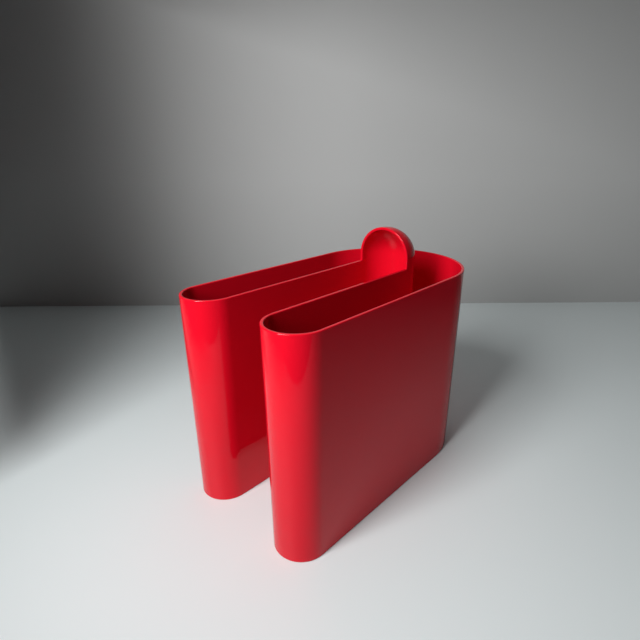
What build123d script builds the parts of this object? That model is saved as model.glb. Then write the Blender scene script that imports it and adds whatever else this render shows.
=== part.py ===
from build123d import *

import math
import os

# A magazine holder: a deep, thin-walled box that is folded into a horseshoe in plan.
# Its two arms point forwards (-Y) and the bend is at the back (+Y). The slot between the
# arms is open at the front, the top and the bottom. Behind the slot its wall rises above
# the rim and closes into a half dome, open to the front: the carrying handle.
# Millimetres, +Z up. The origin is on the table, under the middle of the box.

# The box at its rim
LENGTH = 400.0
WIDTH = 222.0
RIM_Z = 282.0
SLOT_WIDTH = 75.0
WALL = 4.0
DRAFT_DEGREES = 0.6  # every wall leans by this much, so the box is slimmer at its foot
EDGE_ROUNDING = 1.2  # on both edges of the rim and of the handle's arch

# The handle
SPRING_RISE = 12.0  # from the rim to the centre of the dome
CHEEK_DEPTH = 7.0  # how far the arch stands in front of the dome's centre

# The foot of the box: the floor panel drops in from above and rests on a lip
FOOT_Z = 0.5
LIP_HEIGHT = 3.0
LIP_WIDTH = 3.0
FLOOR_THICKNESS = 3.0
FLOOR_CLEARANCE = 0.15

# The pads under the floor panel
PAD_RADIUS = 7.0
PAD_ROUNDING = 0.4
FRONT_PAD_SETBACK = 8.0  # from the centre of an arm's rounded tip towards the back
REAR_PAD_ANGLE = 50.0  # round the bend, up from the line across its centre

# Worked out from the above
OUTER_RADIUS = WIDTH / 2
SLOT_RADIUS = SLOT_WIDTH / 2
TIP_RADIUS = (OUTER_RADIUS - SLOT_RADIUS) / 2
ARM_X = (OUTER_RADIUS + SLOT_RADIUS) / 2
TIP_Y = -LENGTH / 2 + TIP_RADIUS
BEND_Y = LENGTH / 2 - OUTER_RADIUS
SEAT_Z = FOOT_Z + LIP_HEIGHT
FLOOR_TOP_Z = SEAT_Z + FLOOR_THICKNESS
SPRING_Z = RIM_Z + SPRING_RISE
ARCH_Y = BEND_Y - CHEEK_DEPTH
DRAFT_SLOPE = math.tan(math.radians(DRAFT_DEGREES))
TOUCH = 0.01  # closer than this counts as on the same level


def horseshoe(inset):
    """The plan of the box, drawn in by inset all round from its outline at the rim."""
    outer = OUTER_RADIUS - inset
    slot = SLOT_RADIUS + inset
    tip = TIP_RADIUS - inset
    edges = [
        Line((outer, TIP_Y), (outer, BEND_Y)),
        ThreePointArc((outer, BEND_Y), (0, BEND_Y + outer), (-outer, BEND_Y)),
        Line((-outer, BEND_Y), (-outer, TIP_Y)),
        ThreePointArc((-outer, TIP_Y), (-ARM_X, TIP_Y - tip), (-slot, TIP_Y)),
        Line((-slot, TIP_Y), (-slot, BEND_Y)),
        ThreePointArc((-slot, BEND_Y), (0, BEND_Y + slot), (slot, BEND_Y)),
        Line((slot, BEND_Y), (slot, TIP_Y)),
        ThreePointArc((slot, TIP_Y), (ARM_X, TIP_Y - tip), (outer, TIP_Y)),
    ]
    return make_face(edges)


def drafted_horseshoe(inset, bottom, top):
    """A solid of the plan, inset at the rim's height, whose sides lean by the draft."""
    inset_at_top = inset + (RIM_Z - top) * DRAFT_SLOPE
    plan = Pos(0, 0, top) * horseshoe(inset_at_top)
    return extrude(plan, amount=top - bottom, dir=(0, 0, -1), taper=DRAFT_DEGREES)


def half_dome(radius):
    """The handle's form as a solid: a short arch, then half a column under a quarter ball."""
    left_foot, left_spring = (-radius, RIM_Z), (-radius, SPRING_Z)
    right_foot, right_spring = (radius, RIM_Z), (radius, SPRING_Z)
    crown = (0, SPRING_Z + radius)
    arch_outline = [
        Line(left_foot, right_foot),
        Line(right_foot, right_spring),
        ThreePointArc(left_spring, crown, right_spring),
        Line(left_spring, left_foot),
    ]
    upright = Plane(origin=(0, BEND_Y, 0), x_dir=(1, 0, 0), z_dir=(0, -1, 0))
    arch = extrude(upright * make_face(arch_outline), amount=CHEEK_DEPTH)
    half_outline = [
        Line((0, RIM_Z), right_foot),
        Line(right_foot, right_spring),
        RadiusArc(right_spring, crown, -radius),
        Line(crown, (0, RIM_Z)),
    ]
    dome_axis = Axis((0, BEND_Y, 0), (0, 0, 1))
    back = revolve(upright * make_face(half_outline), axis=dome_axis, revolution_arc=180)
    return arch + back


def edges_on(solid, axis, level):
    """The edges of a solid whose middles lie on one level along an axis."""
    return solid.edges().filter_by_position(axis, level - TOUCH, level + TOUCH)


def body_shell():
    """Both walls of the horseshoe, the lip at their foot and the handle: one moulding."""
    box = drafted_horseshoe(0, FOOT_Z, RIM_Z)
    pocket = drafted_horseshoe(WALL, SEAT_Z, RIM_Z)
    lip_inset = WALL + LIP_WIDTH + (RIM_Z - SEAT_Z) * DRAFT_SLOPE
    opening = extrude(Pos(0, 0, FOOT_Z) * horseshoe(lip_inset), amount=LIP_HEIGHT)
    handle = half_dome(SLOT_RADIUS + WALL) - half_dome(SLOT_RADIUS)
    shell = box - pocket - opening + handle
    rim = edges_on(shell, Axis.Z, RIM_Z)
    arch = edges_on(shell, Axis.Y, ARCH_Y).filter_by(lambda edge: edge.center().Z > RIM_Z + TOUCH)
    return fillet(rim + arch, EDGE_ROUNDING)


def pocket_floor():
    """The horseshoe panel that closes both pockets, dropped in and bonded to the lip."""
    return drafted_horseshoe(WALL + FLOOR_CLEARANCE, SEAT_Z, FLOOR_TOP_Z)


def pad(x, y):
    """A rubber disc under the floor panel. It stands a little lower than the box's walls."""
    disc = Pos(x, y, 0) * Cylinder(PAD_RADIUS, SEAT_Z, align=(Align.CENTER, Align.CENTER, Align.MIN))
    return fillet(edges_on(disc, Axis.Z, 0), PAD_ROUNDING)


def pad_places():
    """Where each pad is: two near the arms' tips and two round the bend."""
    places = {}
    rear_x = ARM_X * math.cos(math.radians(REAR_PAD_ANGLE))
    rear_y = BEND_Y + ARM_X * math.sin(math.radians(REAR_PAD_ANGLE))
    for side, sign in (("left", -1), ("right", 1)):
        places["foot_front_" + side] = (sign * ARM_X, TIP_Y + FRONT_PAD_SETBACK)
        places["foot_rear_" + side] = (sign * rear_x, rear_y)
    return places


def write_parts():
    """One STEP file for each piece."""
    pieces = {"body_shell": body_shell(), "pocket_floor": pocket_floor()}
    for name, (x, y) in pad_places().items():
        pieces[name] = pad(x, y)
    os.makedirs("parts", exist_ok=True)
    for name, piece in pieces.items():
        export_step(piece, "parts/" + name + ".step")


write_parts()
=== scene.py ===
import math

import bmesh
import bpy
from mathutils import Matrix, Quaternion, Vector


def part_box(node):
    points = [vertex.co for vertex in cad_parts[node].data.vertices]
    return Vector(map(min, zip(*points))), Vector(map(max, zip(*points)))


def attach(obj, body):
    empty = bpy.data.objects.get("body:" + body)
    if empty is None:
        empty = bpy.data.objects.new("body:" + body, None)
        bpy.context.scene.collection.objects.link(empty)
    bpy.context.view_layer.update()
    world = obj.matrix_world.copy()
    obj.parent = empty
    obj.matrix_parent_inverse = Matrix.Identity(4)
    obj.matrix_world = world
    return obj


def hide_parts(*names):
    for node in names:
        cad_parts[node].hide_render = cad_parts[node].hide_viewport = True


# A glossy red magazine holder: one thin-walled moulding folded into a horseshoe in plan,
# with a half-dome handle at the end of the slot, a floor panel and four rubber pads.
# Everything is in metres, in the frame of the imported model: the arms point along -Y.

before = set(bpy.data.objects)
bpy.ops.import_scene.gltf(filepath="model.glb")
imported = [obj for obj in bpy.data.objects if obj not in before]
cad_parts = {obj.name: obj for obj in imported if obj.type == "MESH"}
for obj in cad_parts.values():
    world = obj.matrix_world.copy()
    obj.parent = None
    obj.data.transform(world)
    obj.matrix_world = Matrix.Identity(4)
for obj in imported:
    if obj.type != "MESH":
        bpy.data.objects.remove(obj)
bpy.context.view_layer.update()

SHELL_LOW, SHELL_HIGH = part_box("body_shell")
FLOOR_LOW, FLOOR_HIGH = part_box("pocket_floor")

# Driving sizes of the moulding
WALL = 0.004
SLOT_RADIUS = 0.0375
DRAFT_SLOPE = math.tan(math.radians(0.6))
EDGE_ROUNDING = 0.0012
CORNER_ROUNDING = 0.002  # where the slot's rim turns up into the handle's arch
FOOT_ROUNDING = 0.0005
SPRING_RISE = 0.012
CHEEK_DEPTH = 0.007
LIP_WIDTH = 0.003
FLOOR_CLEARANCE = 0.00015
PANEL_ROUNDING = 0.0004
PAD_ROUNDING = 0.0005
PAD_DISH_DEPTH = 0.0002
PAD_DISH_SHARE = 0.6  # of the pad's radius
PAD_DISH_FLAT_SHARE = 0.6  # of the dish's radius

# Worked out from the frame
FOOT_Z = SHELL_LOW.z
SEAT_Z = FLOOR_LOW.z
FLOOR_Z = FLOOR_HIGH.z
SPRING_Z = SHELL_HIGH.z - SLOT_RADIUS - WALL
RIM_Z = SPRING_Z - SPRING_RISE
OUTER_RADIUS = SHELL_HIGH.x + EDGE_ROUNDING * DRAFT_SLOPE
HALF_LENGTH = SHELL_HIGH.y + EDGE_ROUNDING * DRAFT_SLOPE
TIP_RADIUS = (OUTER_RADIUS - SLOT_RADIUS) / 2
ARM_X = (OUTER_RADIUS + SLOT_RADIUS) / 2
TIP_Y = TIP_RADIUS - HALF_LENGTH
BEND_Y = HALF_LENGTH - OUTER_RADIUS
ARCH_Y = BEND_Y - CHEEK_DEPTH

# How finely the meshes are cut
STRAIGHT_STEPS = 16
TIP_STEPS = 40
BEND_STEPS = 80
WALL_STEPS = 18
LEG_STEPS = 3
ARCH_STEPS = 72
ROUND_STEPS = 6
CORNER_STEPS = 5
PANEL_RINGS = 7
PAD_SEGMENTS = 48
SAME_PLACE = 1e-9
WELD_DISTANCE = 2e-6
SHARP_ANGLE = math.radians(35)


# ---------------------------------------------------------------- plan of the horseshoe


def steps(start, end, count):
    """count + 1 evenly spaced values from start to end."""
    return [start + (end - start) * i / count for i in range(count + 1)]


def quarter_round(radius):
    """A rounded edge as (distance in from one face, distance from the other), from the first
    face to the second."""
    turns = steps(0, math.pi / 2, ROUND_STEPS)
    return [(radius * (1 - math.cos(a)), radius * (1 - math.sin(a))) for a in turns]


def corner_ys():
    """Where the columns of a slot wall stand under the rounded corner of the handle."""
    radius = CORNER_ROUNDING + EDGE_ROUNDING
    start = ARCH_Y - CORNER_ROUNDING
    return [start + radius * math.sin(a) for a in steps(0, math.pi / 2, CORNER_STEPS)]


def slot_stretch(y):
    """Which stretch of the slot wall stands at y: "rim", or "corner" and "handle" behind it."""
    corner = corner_ys()
    if y < corner[0] + SAME_PLACE:
        return "rim"
    return "corner" if y < corner[-1] + SAME_PLACE else "handle"


def straight_ys():
    """Stations along the straight of an arm, from the tip to the bend."""
    corner = corner_ys()
    front = steps(TIP_Y, corner[0], STRAIGHT_STEPS)[:-1]
    return front + corner + [(corner[-1] + BEND_Y) / 2, BEND_Y]


def arc(centre, radius, start, end, count):
    """Stations on an arc: (point on the rim's outline, outward normal)."""
    found = []
    for a in steps(math.radians(start), math.radians(end), count):
        normal = Vector((math.cos(a), math.sin(a)))
        found.append((Vector(centre) + radius * normal, normal))
    return found


def slot_arc():
    """Stations round the end of the slot. Their outward normals point into the slot."""
    return [(p, -n) for p, n in arc((0, BEND_Y), SLOT_RADIUS, 180, 0, BEND_STEPS)]


def plan_stations():
    """All stations in order, as (point, outward normal, stretch): round the outer side, the left
    tip, the slot and the right tip. Only the slot wall has stretches other than "rim"."""
    ys = straight_ys()
    right, left = Vector((1, 0)), Vector((-1, 0))
    outer = [(Vector((OUTER_RADIUS, y)), right) for y in ys[:-1]]
    outer += arc((0, BEND_Y), OUTER_RADIUS, 0, 180, BEND_STEPS)
    outer += [(Vector((-OUTER_RADIUS, y)), left) for y in reversed(ys[:-1])]
    left_tip = arc((-ARM_X, TIP_Y), TIP_RADIUS, 180, 360, TIP_STEPS)[1:-1]
    slot = [(Vector((-SLOT_RADIUS, y)), right) for y in ys[:-1]]
    slot += slot_arc()
    slot += [(Vector((SLOT_RADIUS, y)), left) for y in reversed(ys[:-1])]
    right_tip = arc((ARM_X, TIP_Y), TIP_RADIUS, 180, 360, TIP_STEPS)[1:-1]
    stations = [(p, n, "rim") for p, n in outer + left_tip]
    stations += [(p, n, slot_stretch(p.y)) for p, n in slot]
    return stations + [(p, n, "rim") for p, n in right_tip]


def on_wall(station, inset, z):
    """A point of the wall: inset from its outer face, which itself leans in below the rim."""
    point, normal = station[0], station[1]
    plan = point - normal * (inset + max(0.0, RIM_Z - z) * DRAFT_SLOPE)
    return Vector((plan.x, plan.y, z))


def ring(stations, inset, z):
    """The whole outline at one height, inset from the outline of the rim."""
    row = [point - normal * inset for point, normal, stretch in stations]
    return [Vector((p.x, p.y, z)) for p in row]


# ------------------------------------------------------------------------- mesh helpers


class Skin:
    """Collects faces by their corner points. Points that coincide become one vertex."""

    def __init__(self):
        self.mesh = bmesh.new()

    def grid(self, rows, closed=False):
        """Quads between neighbouring rows of points, which all have the same length."""
        made = [[self.mesh.verts.new(p) for p in row] for row in rows]
        count = len(rows[0])
        for low, high in zip(made, made[1:]):
            for i in range(count if closed else count - 1):
                j = (i + 1) % count
                self.mesh.faces.new((low[i], low[j], high[j], high[i]))

    def piece(self, name, material):
        """The finished object: welded, facing outwards, smooth between its sharp edges."""
        bmesh.ops.remove_doubles(self.mesh, verts=self.mesh.verts, dist=WELD_DISTANCE)
        bmesh.ops.dissolve_degenerate(self.mesh, edges=self.mesh.edges, dist=WELD_DISTANCE)
        bmesh.ops.recalc_face_normals(self.mesh, faces=self.mesh.faces)
        data = bpy.data.meshes.new(name)
        self.mesh.to_mesh(data)
        self.mesh.free()
        data.shade_smooth()
        data.set_sharp_from_angle(angle=SHARP_ANGLE)
        obj = bpy.data.objects.new(name, data)
        bpy.context.scene.collection.objects.link(obj)
        obj.data.materials.append(material)
        weighted = obj.modifiers.new("face_weighted_normals", "WEIGHTED_NORMAL")
        weighted.keep_sharp = True
        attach(obj, "root")
        return obj


def edge_profile():
    """Across the free edge of the wall: (inset, depth below the edge), from face to face."""
    quarter = quarter_round(EDGE_ROUNDING)
    return quarter + [(WALL - inset, depth) for inset, depth in reversed(quarter)]


# --------------------------------------------------------------------- the body's shell


def wall_faces(skin, stations, inset):
    """One side of the wall below the rim, and under the handle up to the dome's springing."""
    low = FOOT_Z + FOOT_ROUNDING if inset == 0 else SEAT_Z
    high = RIM_Z - EDGE_ROUNDING
    levels = steps(low, high, WALL_STEPS)
    skin.grid([[on_wall(s, inset, z) for s in stations] for z in levels], closed=True)
    corner_top = RIM_Z + CORNER_ROUNDING
    corner = corner_ys()
    arc_z = [corner_top - (CORNER_ROUNDING + EDGE_ROUNDING) * math.cos(a)
             for a in steps(0, math.pi / 2, CORNER_STEPS)]
    for side in (-1, 1):
        normal = Vector((-side, 0))
        columns = [(Vector((side * SLOT_RADIUS, y)), normal) for y in corner]
        bottom = [on_wall(c, inset, high) for c in columns]
        top = [on_wall(c, inset, z) for c, z in zip(columns, arc_z)]
        skin.grid([bottom, top])
    inner = [s for s in stations if s[2] == "handle"]
    first = (Vector((-SLOT_RADIUS, corner[-1])), Vector((1, 0)))
    last = (Vector((SLOT_RADIUS, corner[-1])), Vector((-1, 0)))
    columns = [first] + inner + [last]
    levels = [high] + steps(corner_top, SPRING_Z, LEG_STEPS)
    skin.grid([[on_wall(c, inset, z) for c in columns] for z in levels])


def dome_faces(skin, inset):
    """One side of the dome: arches that start at the handle's face and shrink to its back."""
    radius = SLOT_RADIUS + inset
    face_y = corner_ys()[-1]
    sections = [(face_y, radius), ((face_y + BEND_Y) / 2, radius)]
    for a in steps(0, math.pi / 2, BEND_STEPS // 2):
        sections.append((BEND_Y + radius * math.sin(a), radius * math.cos(a)))
    rows = []
    for y, r in sections:
        rows.append([Vector((r * math.cos(a), y, SPRING_Z + r * math.sin(a)))
                     for a in steps(0, math.pi, ARCH_STEPS)])
    skin.grid(rows)


def free_edge_path(stations):
    """The closed path of the wall's free edge: along the rim, up one side of the handle's
    arch, over it and down the other. Each entry maps (inset, depth) to a point."""

    def rim(station):
        return lambda inset, depth: on_wall(station, inset, RIM_Z - depth)

    def corner(side, a):
        def place(inset, depth):
            radius = CORNER_ROUNDING + depth
            y = ARCH_Y - CORNER_ROUNDING + radius * math.sin(a)
            z = RIM_Z + CORNER_ROUNDING - radius * math.cos(a)
            return on_wall((Vector((side * SLOT_RADIUS, y)), Vector((-side, 0))), inset, z)
        return place

    def leg(side, z):
        return lambda inset, depth: Vector((side * (SLOT_RADIUS + inset), ARCH_Y + depth, z))

    def arch(a):
        def place(inset, depth):
            radius = SLOT_RADIUS + inset
            return Vector((radius * math.cos(a), ARCH_Y + depth, SPRING_Z + radius * math.sin(a)))
        return place

    free = [i for i, s in enumerate(stations) if s[2] == "rim"]
    start = next(i for i in free if stations[i - 1][2] != "rim")
    along_rim = [stations[(start + k) % len(stations)] for k in range(len(free))]
    turns = steps(0, math.pi / 2, CORNER_STEPS)
    legs = steps(RIM_Z + CORNER_ROUNDING, SPRING_Z, LEG_STEPS)
    path = [rim(s) for s in along_rim]
    path += [corner(-1, a) for a in turns[1:]]
    path += [leg(-1, z) for z in legs[1:-1]]
    path += [arch(a) for a in steps(math.pi, 0, ARCH_STEPS)]
    path += [leg(1, z) for z in reversed(legs[1:-1])]
    path += [corner(1, a) for a in reversed(turns[1:])]
    return path


def foot_faces(skin, stations):
    """The wall's foot: its rounded outer edge, its flat, the lip and the floor panel's seat."""
    r = FOOT_ROUNDING
    leaned = (RIM_Z - FOOT_Z) * DRAFT_SLOPE
    above_rounding = (RIM_Z - FOOT_Z - r) * DRAFT_SLOPE
    outline = [(above_rounding + across, FOOT_Z + rise) for across, rise in quarter_round(r)]
    at_seat = (RIM_Z - SEAT_Z) * DRAFT_SLOPE
    outline.append((leaned + WALL, FOOT_Z))
    outline.append((at_seat + WALL + LIP_WIDTH, FOOT_Z))
    outline.append((at_seat + WALL + LIP_WIDTH, SEAT_Z))
    outline.append((at_seat + WALL, SEAT_Z))
    skin.grid([ring(stations, inset, z) for inset, z in outline], closed=True)


def body_shell(material):
    """Walls, rim, foot and handle as one closed skin, as they are one moulding."""
    stations = plan_stations()
    skin = Skin()
    for inset in (0.0, WALL):
        wall_faces(skin, stations, inset)
        dome_faces(skin, inset)
    path = free_edge_path(stations)
    rows = [[place(inset, depth) for place in path] for inset, depth in edge_profile()]
    skin.grid(rows, closed=True)
    foot_faces(skin, stations)
    shell = skin.piece("holder_shell", material)
    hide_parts("body_shell")


# --------------------------------------------------------------------- the floor panel


def floor_panel(material):
    """The horseshoe panel, as rings that shrink on to the middle line of the arms and bend."""
    stations = plan_stations()
    edge = WALL + FLOOR_CLEARANCE
    at_top = edge + (RIM_Z - FLOOR_Z) * DRAFT_SLOPE
    at_bottom = edge + (RIM_Z - SEAT_Z) * DRAFT_SLOPE
    r = PANEL_ROUNDING
    rounded = [(at_top + across, FLOOR_Z - drop) for across, drop in quarter_round(r)]
    top = [(inset, FLOOR_Z) for inset in steps(at_top + r, TIP_RADIUS, PANEL_RINGS)[1:]]
    bottom = [(inset, SEAT_Z) for inset in steps(TIP_RADIUS, at_bottom, PANEL_RINGS)]
    skin = Skin()
    skin.grid([ring(stations, inset, z) for inset, z in bottom + rounded + top], closed=True)
    panel = skin.piece("holder_floor", material)
    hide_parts("pocket_floor")


# --------------------------------------------------------------------- the rubber pads


def rubber_pad(node, material):
    """A pad in the place of one CAD pad: a disc with a rounded lower edge and a shallow dish in
    its underside."""
    low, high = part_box(node)
    centre = (low + high) / 2
    radius = (high.x - low.x) / 2
    dish_radius = PAD_DISH_SHARE * radius
    dish_z = low.z + PAD_DISH_DEPTH
    profile = [(0.0, dish_z), (dish_radius * PAD_DISH_FLAT_SHARE, dish_z), (dish_radius, low.z)]
    profile += [(radius - inset, low.z + rise) for rise, inset in quarter_round(PAD_ROUNDING)]
    profile += [(radius, high.z), (0.0, high.z)]
    turns = steps(0, math.tau, PAD_SEGMENTS)[:-1]
    rows = []
    for r, z in profile:
        rows.append([Vector((centre.x + r * math.cos(a), centre.y + r * math.sin(a), z)) for a in turns])
    skin = Skin()
    skin.grid(rows, closed=True)
    pad = skin.piece("pad_" + node.removeprefix("foot_"), material)
    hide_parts(node)


# --------------------------------------------------------------------------- materials

# Colours are linear RGB. Scales are in waves per metre, heights in metres.
SHELL_RED = (0.71, 0.004, 0.018)
SHELL_ROUGHNESS = (0.03, 0.05)
FLOOR_RED = (0.70, 0.004, 0.018)
FLOOR_ROUGHNESS = (0.14, 0.22)
ABS_IOR = 1.45
ABS_REFLECTION_TINT = (1.0, 0.65, 0.68, 1.0)
HAZE_SCALE = 14.0
HAZE_DARKENING = 0.93
RIPPLE_SCALE = 12.0
RIPPLE_HEIGHT = 0.0002
SKIN_GRAIN_SCALE = 900.0
SKIN_GRAIN_HEIGHT = 0.000004

RUBBER_DARK = (0.022, 0.022, 0.024)
RUBBER_DUSTY = (0.060, 0.058, 0.056)
RUBBER_ROUGHNESS = (0.62, 0.85)
DUST_SCALE = 420.0
DUST_START = 0.45
DUST_END = 0.75
RUBBER_GRAIN_SCALE = 2500.0
RUBBER_GRAIN_HEIGHT = 0.00003

TABLE_PALE = (0.81, 0.880, 0.885)
TABLE_CLOUDED = (0.78, 0.850, 0.855)
TABLE_ROUGHNESS = (0.42, 0.50)
TABLE_CLOUD_SCALE = 3.0
# Painted shade: for glossy rays only, the table is darkened towards this colour along the direction
# below, so the object mirrors it darker to the right and the back.
TABLE_REFLECTED_SHADE = (0.08, 0.08, 0.08)
REFLECTED_SHADE_DIRECTION = (0.7071, 0.7071, 0.0)
REFLECTED_SHADE_START = -0.30  # metres along that direction
REFLECTED_SHADE_END = 0.92

# Painted shade: the backdrop's colour darkens towards its foot, below the height given here.
BACKDROP_SHADED_FOOT = (0.42, 0.425, 0.42)
BACKDROP_UPPER = (0.53, 0.535, 0.53)
BACKDROP_SHADE_HEIGHT = 0.35
BACKDROP_ROUGHNESS = (0.80, 0.90)
BACKDROP_CLOUD_SCALE = 1.5

CARD_BLACK = (0.01, 0.01, 0.01, 1.0)
CARD_ROUGHNESS = 0.9

NOISE_MIDDLE = (0.3, 0.7)  # where nearly all values of a noise lie


def new_material(name):
    """A new node material: (material, nodes, links, its Principled shader)."""
    material = bpy.data.materials.new(name)
    material.use_nodes = True
    nodes, links = material.node_tree.nodes, material.node_tree.links
    return material, nodes, links, nodes["Principled BSDF"]


def noise(nodes, links, scale, detail):
    """A noise texture in object coordinates."""
    place = nodes.new("ShaderNodeTexCoord")
    texture = nodes.new("ShaderNodeTexNoise")
    texture.inputs["Scale"].default_value = scale
    texture.inputs["Detail"].default_value = detail
    links.new(place.outputs["Object"], texture.inputs["Vector"])
    return texture.outputs["Fac"]


def remap(nodes, links, value, source, target):
    """value, moved from the source range to the target range and clamped."""
    ranged = nodes.new("ShaderNodeMapRange")
    ranged.inputs["From Min"].default_value, ranged.inputs["From Max"].default_value = source
    ranged.inputs["To Min"].default_value, ranged.inputs["To Max"].default_value = target
    links.new(value, ranged.inputs["Value"])
    return ranged.outputs["Result"]


def mix_colours(nodes, links, factor, first, second):
    """A mix node that gives the first colour at a factor of 0, and the second at 1."""
    mix = nodes.new("ShaderNodeMix")
    mix.data_type = "RGBA"
    mix.inputs["A"].default_value = (*first, 1.0)
    mix.inputs["B"].default_value = (*second, 1.0)
    links.new(factor, mix.inputs["Factor"])
    return mix


def bump(nodes, links, height, distance, under=None):
    """A bump from a height, in metres for a height of one, on top of another bump if given."""
    made = nodes.new("ShaderNodeBump")
    made.inputs["Distance"].default_value = distance
    links.new(height, made.inputs["Height"])
    if under:
        links.new(under, made.inputs["Normal"])
    return made.outputs["Normal"]


def glossy_abs(name, colour, roughness):
    """Polished moulded ABS: deep colour, a mirror-like skin, a slow ripple and faint hazing."""
    material, nodes, links, shader = new_material(name)
    shader.inputs["IOR"].default_value = ABS_IOR
    shader.inputs["Specular Tint"].default_value = ABS_REFLECTION_TINT
    haze = noise(nodes, links, HAZE_SCALE, 3.0)
    hazed = [c * HAZE_DARKENING for c in colour]
    mix = mix_colours(nodes, links, haze, colour, hazed)
    links.new(mix.outputs["Result"], shader.inputs["Base Color"])
    links.new(remap(nodes, links, haze, NOISE_MIDDLE, roughness), shader.inputs["Roughness"])
    ripple = bump(nodes, links, noise(nodes, links, RIPPLE_SCALE, 1.0), RIPPLE_HEIGHT)
    fine = noise(nodes, links, SKIN_GRAIN_SCALE, 2.0)
    grain = bump(nodes, links, fine, SKIN_GRAIN_HEIGHT, under=ripple)
    links.new(grain, shader.inputs["Normal"])
    return material


def pad_rubber():
    """Dark grey moulded rubber with a fine matt grain and dusty high spots."""
    material, nodes, links, shader = new_material("pad_rubber")
    dust = noise(nodes, links, DUST_SCALE, 4.0)
    dusty = remap(nodes, links, dust, (DUST_START, DUST_END), (0.0, 1.0))
    mix = mix_colours(nodes, links, dusty, RUBBER_DARK, RUBBER_DUSTY)
    links.new(mix.outputs["Result"], shader.inputs["Base Color"])
    links.new(remap(nodes, links, dust, NOISE_MIDDLE, RUBBER_ROUGHNESS), shader.inputs["Roughness"])
    grain = bump(nodes, links, noise(nodes, links, RUBBER_GRAIN_SCALE, 3.0), RUBBER_GRAIN_HEIGHT)
    links.new(grain, shader.inputs["Normal"])
    return material


def painted_shade_in_reflections(nodes, links):
    """How much painted shade the table gets in reflections: it rises along the shade direction, and only
    for glossy rays.
    """
    place = nodes.new("ShaderNodeTexCoord")
    along = nodes.new("ShaderNodeVectorMath")
    along.operation = "DOT_PRODUCT"
    along.inputs[1].default_value = REFLECTED_SHADE_DIRECTION
    links.new(place.outputs["Object"], along.inputs[0])
    # painted shade in reflections: darker further along the direction
    reflected_shade_ramp = remap(nodes, links, along.outputs["Value"], (REFLECTED_SHADE_START, REFLECTED_SHADE_END), (0.0, 1.0))
    rays = nodes.new("ShaderNodeLightPath")
    reflected = nodes.new("ShaderNodeMath")
    reflected.operation = "MULTIPLY"
    links.new(reflected_shade_ramp, reflected.inputs[0])
    links.new(rays.outputs["Is Glossy Ray"], reflected.inputs[1])
    return reflected.outputs["Value"]


def table_top():
    """The pale table: satin white with a very faint cloudiness. It carries painted shade for glossy rays
    only: the object mirrors it as if it got darker to the right and the back, which is not so for light
    that it scatters."""
    material, nodes, links, shader = new_material("table_top")
    cloud = noise(nodes, links, TABLE_CLOUD_SCALE, 4.0)
    clouded = mix_colours(nodes, links, cloud, TABLE_PALE, TABLE_CLOUDED)
    # painted shade: the table's colour darkened for glossy rays
    reflected_shade_colour = mix_colours(nodes, links, painted_shade_in_reflections(nodes, links), TABLE_PALE, TABLE_REFLECTED_SHADE)
    links.new(clouded.outputs["Result"], reflected_shade_colour.inputs["A"])
    links.new(reflected_shade_colour.outputs["Result"], shader.inputs["Base Color"])
    links.new(remap(nodes, links, cloud, NOISE_MIDDLE, TABLE_ROUGHNESS), shader.inputs["Roughness"])
    return material


def backdrop_grey():
    """A grey studio backdrop with painted shade: its colour is a little darker at its foot."""
    material, nodes, links, shader = new_material("backdrop_grey")
    place = nodes.new("ShaderNodeTexCoord")
    split = nodes.new("ShaderNodeSeparateXYZ")
    links.new(place.outputs["Object"], split.inputs["Vector"])
    # painted shade: the colour darkens towards the foot of the backdrop
    height = remap(nodes, links, split.outputs["Z"], (0.0, BACKDROP_SHADE_HEIGHT), (0.0, 1.0))
    mix = mix_colours(nodes, links, height, BACKDROP_SHADED_FOOT, BACKDROP_UPPER)
    links.new(mix.outputs["Result"], shader.inputs["Base Color"])
    cloud = noise(nodes, links, BACKDROP_CLOUD_SCALE, 5.0)
    links.new(remap(nodes, links, cloud, NOISE_MIDDLE, BACKDROP_ROUGHNESS), shader.inputs["Roughness"])
    return material


def dark_card():
    """The matt black of the flags that shade the lamp."""
    material, _, _, shader = new_material("dark_card")
    shader.inputs["Base Color"].default_value = CARD_BLACK
    shader.inputs["Roughness"].default_value = CARD_ROUGHNESS
    return material


# ------------------------------------------------------------- camera, stage and lights

CAMERA_PLACE = Vector((0.3961, -0.4685, 0.4488))
CAMERA_HEADING = math.radians(133.466)  # in plan, counted from +X
CAMERA_PITCH = math.radians(20.551)  # below the horizon
CAMERA_ROLL = math.radians(-0.427)
FOCAL_LENGTH = 26.68
SENSOR_WIDTH = 36.0
VIEW_IN_PLAN = Vector((math.cos(CAMERA_HEADING), math.sin(CAMERA_HEADING), 0))

BACKDROP_DISTANCE = 1.33  # from the camera, in plan
BACKDROP_HEIGHT = 2.4
STAGE_LEFT = 1.9  # from the camera's line of view
STAGE_RIGHT = 3.0

# A flag upright on the left, a barn door under the front lamp and a strip over the holder
SIDE_FLAG = [(-0.28, -0.48, 0.14), (-1.3, -0.3, 0.14), (-1.3, -0.3, 1.4), (-0.28, -0.48, 1.4)]
BARN_DOOR = [(-1.0, -1.3, 0.40), (1.0, -1.3, 0.40), (1.0, -0.77, 0.40), (-1.0, -0.77, 0.40)]
TOP_FLAG = [(-1.2, 0.0, 0.85), (0.9, 0.0, 0.85), (0.9, 0.0, 1.05), (-1.2, 0.0, 1.05)]

FRONT_BOX_PLACE = (0.05, -1.0, 0.85)
FRONT_BOX_TARGET = (0.05, 0.0, 0.30)
FRONT_BOX_SIZE = (0.45, 0.80)
FRONT_BOX_WATTS = 21.0
TOP_BOX_PLACE = (-0.1, 0.3, 1.7)
TOP_BOX_TARGET = (0.0, 0.1, 0.0)
TOP_BOX_SIZE = (1.0, 1.0)
TOP_BOX_WATTS = 1.4
ROOM_LIGHT = 0.036
ROOM_SEEN_BY_CAMERA = 0.5


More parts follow.
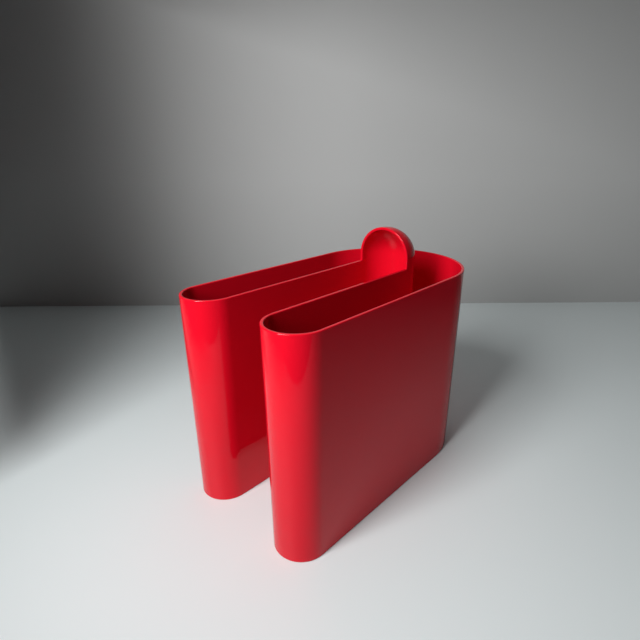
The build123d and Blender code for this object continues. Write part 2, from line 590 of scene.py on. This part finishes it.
def add_camera():
    """The camera, in front and to the right of the holder, looking down on it."""
    data = bpy.data.cameras.new("camera")
    data.sensor_fit = "HORIZONTAL"
    data.sensor_width = SENSOR_WIDTH
    data.lens = FOCAL_LENGTH
    camera = bpy.data.objects.new("camera", data)
    bpy.context.scene.collection.objects.link(camera)
    forward = VIEW_IN_PLAN * math.cos(CAMERA_PITCH) - Vector((0, 0, math.sin(CAMERA_PITCH)))
    camera.location = CAMERA_PLACE
    camera.rotation_mode = "QUATERNION"
    camera.rotation_quaternion = forward.to_track_quat("-Z", "Y") @ Quaternion((0, 0, 1), CAMERA_ROLL)
    bpy.context.scene.camera = camera


def stage_plane(name, corners, material):
    """A flat part of the set, from its corner points."""
    data = bpy.data.meshes.new(name)
    data.from_pydata([tuple(c) for c in corners], [], [tuple(range(len(corners)))])
    data.materials.append(material)
    obj = bpy.data.objects.new(name, data)
    bpy.context.scene.collection.objects.link(obj)
    return obj


def add_flag(name, corners, material):
    """A dark card that shades the lamps and that the camera doesn't see."""
    flag = stage_plane(name, corners, material)
    flag.visible_camera = False
    return flag


def add_stage():
    """A pale table that ends under the camera, a grey wall that faces the camera, and flags."""
    across = Vector((-VIEW_IN_PLAN.y, VIEW_IN_PLAN.x, 0))
    left, right = across * STAGE_LEFT, across * -STAGE_RIGHT
    camera_foot = Vector((CAMERA_PLACE.x, CAMERA_PLACE.y, 0))
    wall_foot = camera_foot + VIEW_IN_PLAN * BACKDROP_DISTANCE
    up = Vector((0, 0, BACKDROP_HEIGHT))
    near_edge = [camera_foot + right, camera_foot + left]
    far_edge = [wall_foot + right, wall_foot + left]
    stage_plane("table", [near_edge[0], *far_edge, near_edge[1]], table_top())
    stage_plane("backdrop", [*far_edge, far_edge[1] + up, far_edge[0] + up], backdrop_grey())
    card = dark_card()
    add_flag("flag", SIDE_FLAG, card)
    add_flag("barn_door", BARN_DOOR, card)
    top_flag = add_flag("top_flag", TOP_FLAG, card)
    top_flag.visible_glossy = False


def area_light(name, place, target, size, power):
    """A soft rectangular lamp that the camera doesn't see."""
    data = bpy.data.lights.new(name, "AREA")
    data.shape = "RECTANGLE"
    data.size, data.size_y = size
    data.energy = power
    light = bpy.data.objects.new(name, data)
    light.location = place
    light.rotation_mode = "QUATERNION"
    light.rotation_quaternion = (Vector(target) - Vector(place)).to_track_quat("-Z", "Y")
    light.visible_camera = False
    bpy.context.scene.collection.objects.link(light)


def add_room():
    """The room: dim where it lights the object, mid grey where the camera sees it directly."""
    world = bpy.data.worlds.new("room")
    world.use_nodes = True
    nodes, links = world.node_tree.nodes, world.node_tree.links
    background = nodes["Background"]
    background.inputs["Color"].default_value = (1.0, 1.0, 1.0, 1.0)
    seen = nodes.new("ShaderNodeLightPath").outputs["Is Camera Ray"]
    strength = remap(nodes, links, seen, (0.0, 1.0), (ROOM_LIGHT, ROOM_SEEN_BY_CAMERA))
    links.new(strength, background.inputs["Strength"])
    bpy.context.scene.world = world


def add_lights():
    """A tall soft box in front of the arms and a weak one overhead, in a dim room."""
    area_light("front_box", FRONT_BOX_PLACE, FRONT_BOX_TARGET, FRONT_BOX_SIZE, FRONT_BOX_WATTS)
    area_light("top_box", TOP_BOX_PLACE, TOP_BOX_TARGET, TOP_BOX_SIZE, TOP_BOX_WATTS)
    add_room()
    bpy.context.scene.view_settings.view_transform = "Standard"


red_shell = glossy_abs("red_shell", SHELL_RED, SHELL_ROUGHNESS)
red_floor = glossy_abs("red_floor", FLOOR_RED, FLOOR_ROUGHNESS)
rubber = pad_rubber()
body_shell(red_shell)
floor_panel(red_floor)
for pad_node in sorted(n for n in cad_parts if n.startswith("foot_")):
    rubber_pad(pad_node, rubber)
add_camera()
add_stage()
add_lights()
